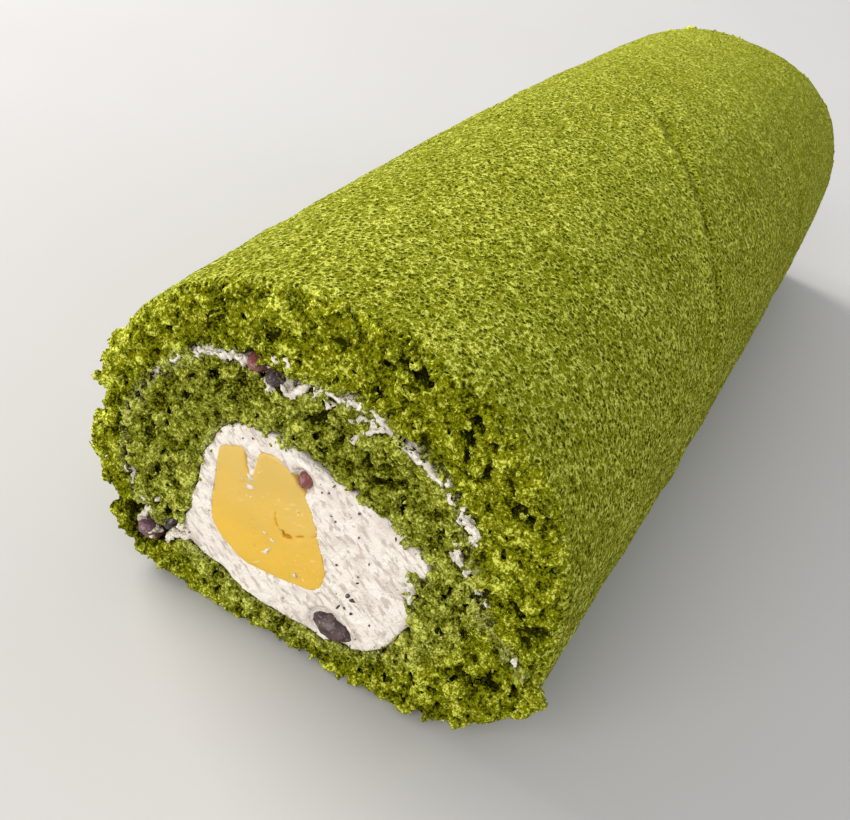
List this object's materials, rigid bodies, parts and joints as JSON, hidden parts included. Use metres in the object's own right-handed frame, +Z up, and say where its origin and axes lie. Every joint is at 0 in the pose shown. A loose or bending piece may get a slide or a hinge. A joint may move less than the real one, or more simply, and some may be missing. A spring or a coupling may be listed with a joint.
{
  "type": "swiss roll cake",
  "caption": "Whole green tea sponge roll lying on its base, cut across at its ends, with whipped cream, a chestnut bar and red beans inside.",
  "frame": {"origin": "on the surface it rests on, under the middle of the roll's box", "axes": "+Y along the roll, away from the shown cut end, which faces -Y; +Z up"},
  "size_m": [0.0942, 0.26, 0.0739],
  "materials": {
    "sponge": "matte, fine open crumb, yellow-green",
    "cream": "soft satin whipped cream, warm white",
    "chestnut": "moist, slightly translucent candied yellow",
    "bean": "moist skin, dark red-brown to purple"
  },
  "bodies": {
    "root": {"sponge": "sponge", "cream": "cream", "chestnut": "chestnut", "bean_front_1": "bean", "bean_front_2": "bean", "bean_front_3": "bean", "bean_front_4": "bean", "bean_front_5": "bean", "bean_front_6": "bean", "bean_back_1": "bean", "bean_back_2": "bean", "bean_back_3": "bean", "bean_back_4": "bean", "bean_back_5": "bean"}
  },
  "joints": []
}
